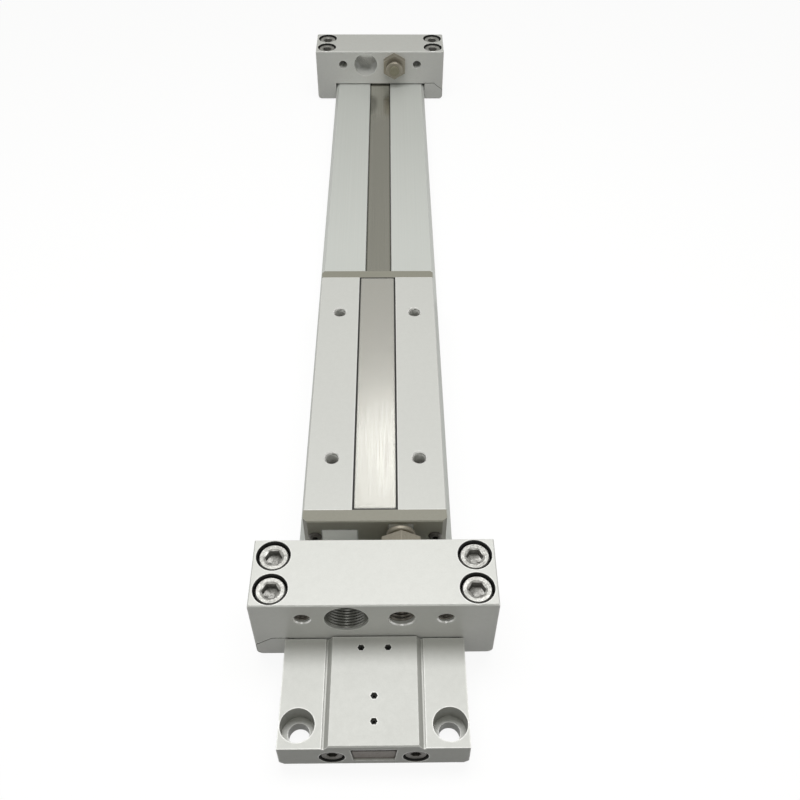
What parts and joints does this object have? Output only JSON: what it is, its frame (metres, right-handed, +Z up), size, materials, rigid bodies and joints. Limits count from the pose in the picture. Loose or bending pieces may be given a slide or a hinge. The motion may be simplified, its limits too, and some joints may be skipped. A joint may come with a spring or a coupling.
{
  "type": "rodless pneumatic cylinder",
  "caption": "Flat slit-type rodless air cylinder: belt-sealed aluminium tube, slide table carried by an inner piston, head covers with mounting holes and clamp-on stroke stops.",
  "frame": {"origin": "centre of the underside of the whole cylinder, on the surface it is bolted to", "axes": "+Z up from the mounting face, +Y along the stroke from the near end to the far end, +X across"},
  "size_m": [0.078, 0.4742, 0.031],
  "materials": {
    "anodised_extrusion": "clear anodised, fine die lines along the stroke",
    "machined_aluminium": "bead-blasted and clear anodised",
    "clamp_aluminium": "as cast, dull",
    "stainless_plate": "satin",
    "stainless_belt": "rolled strip",
    "plated_steel": "bright plated",
    "cover_resin": "moulded",
    "bearing_resin": "moulded",
    "seal_urethane": "smooth",
    "urethane": "smooth",
    "black_rubber": "smooth",
    "magnet_rubber": "matt"
  },
  "bodies": {
    "cylinder": {"belt_clamp_far": "clamp_aluminium", "belt_clamp_near": "clamp_aluminium", "clamp_bar_far": "machined_aluminium", "clamp_bar_near": "machined_aluminium", "cylinder_tube": "anodised_extrusion", "dust_belt": "stainless_belt", "head_cover_screws": "plated_steel", "head_covers": "machined_aluminium", "holder_screws": "plated_steel", "jam_nuts": "plated_steel", "seal_belt": "seal_urethane", "seal_magnets": "magnet_rubber", "stop_holder_far": "machined_aluminium", "stop_holder_near": "machined_aluminium", "wedge_clamp_far": "machined_aluminium", "wedge_clamp_near": "machined_aluminium"},
    "table": {"bearing_pads": "bearing_resin", "belt_separators": "bearing_resin", "cover_plate": "stainless_plate", "end_cover_far": "cover_resin", "end_cover_near": "cover_resin", "piston_heads": "machined_aluminium", "piston_magnets": "magnet_rubber", "piston_seals": "black_rubber", "scraper_far": "black_rubber", "scraper_near": "black_rubber", "slide_table": "machined_aluminium", "stop_plate_far": "plated_steel", "stop_plate_near": "plated_steel", "yoke": "machined_aluminium"},
    "near_stop": {"bolt_bumper_near": "urethane", "stop_bolt_near": "plated_steel"},
    "far_stop": {"bolt_bumper_far": "urethane", "stop_bolt_far": "plated_steel"}
  },
  "joints": [
    {"name": "table_slide", "type": "slide", "parent": "cylinder", "child": "table", "axis": [0, 1, 0], "range_m": [0, 0.2], "deforming": ["dust_belt", "seal_belt"]},
    {"name": "near_stop_adjust", "type": "slide", "parent": "cylinder", "child": "near_stop", "axis": [0, -1, 0], "range_m": [0, 0.002]},
    {"name": "far_stop_adjust", "type": "slide", "parent": "cylinder", "child": "far_stop", "axis": [0, 1, 0], "range_m": [0, 0.002]}
  ]
}
